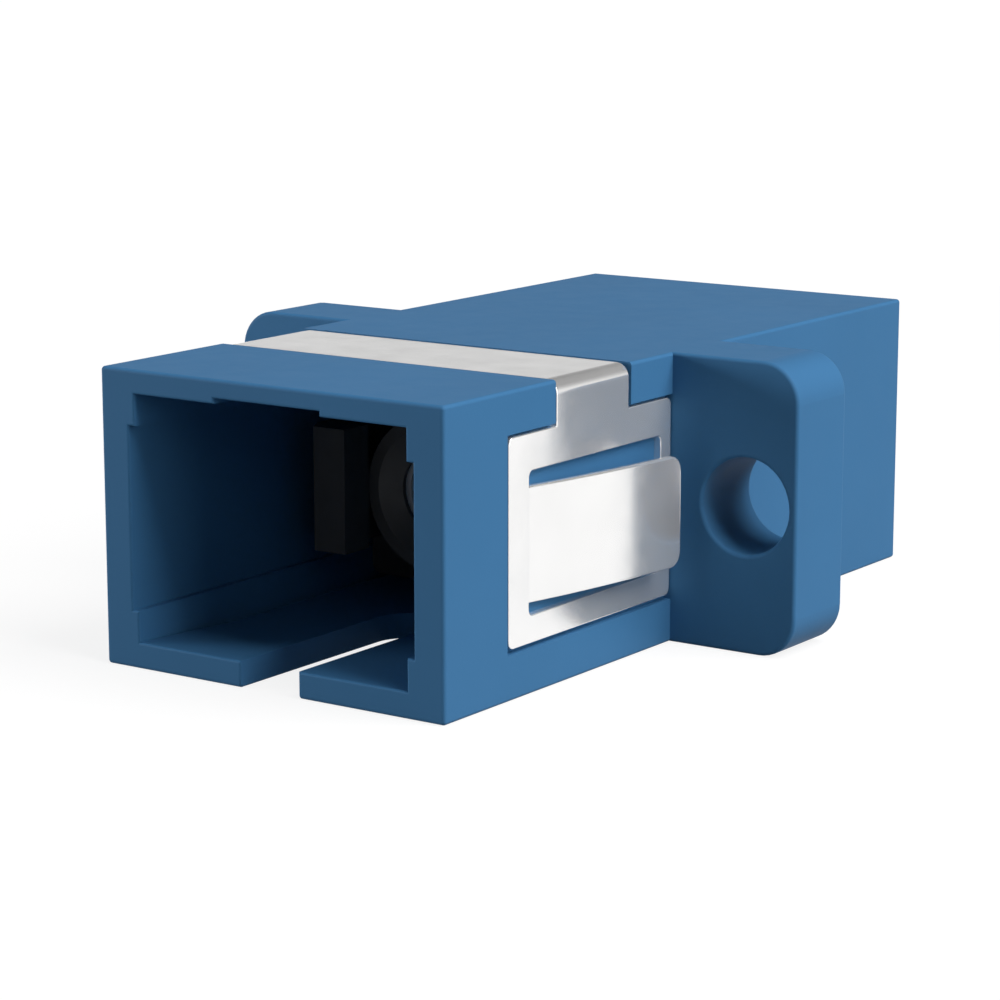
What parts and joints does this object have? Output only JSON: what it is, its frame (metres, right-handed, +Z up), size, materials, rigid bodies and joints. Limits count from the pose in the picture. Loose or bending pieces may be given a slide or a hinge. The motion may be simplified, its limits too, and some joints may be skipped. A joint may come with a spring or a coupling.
{
  "type": "flanged fibre optic adapter",
  "caption": "Moulded fibre optic adapter with a square push-pull socket at each end, a two-hole flange and a sprung metal clip.",
  "frame": {"origin": "on the underside, below the middle of the adapter's length and width", "axes": "+Z up, away from the face with the key slots; Y along the light path with the clip on the -Y side; X across the flange"},
  "size_m": [0.022, 0.0278, 0.0094],
  "materials": {
    "blue_plastic": "fine satin moulded surface",
    "spring_steel": "bright rolled sheet",
    "black_plastic": "satin moulded surface",
    "white_ceramic": "ground and polished ceramic"
  },
  "bodies": {
    "root": {"housing": "blue_plastic", "mounting_clip": "spring_steel", "front_latch_insert": "black_plastic", "rear_latch_insert": "black_plastic", "alignment_sleeve": "white_ceramic"}
  },
  "joints": []
}
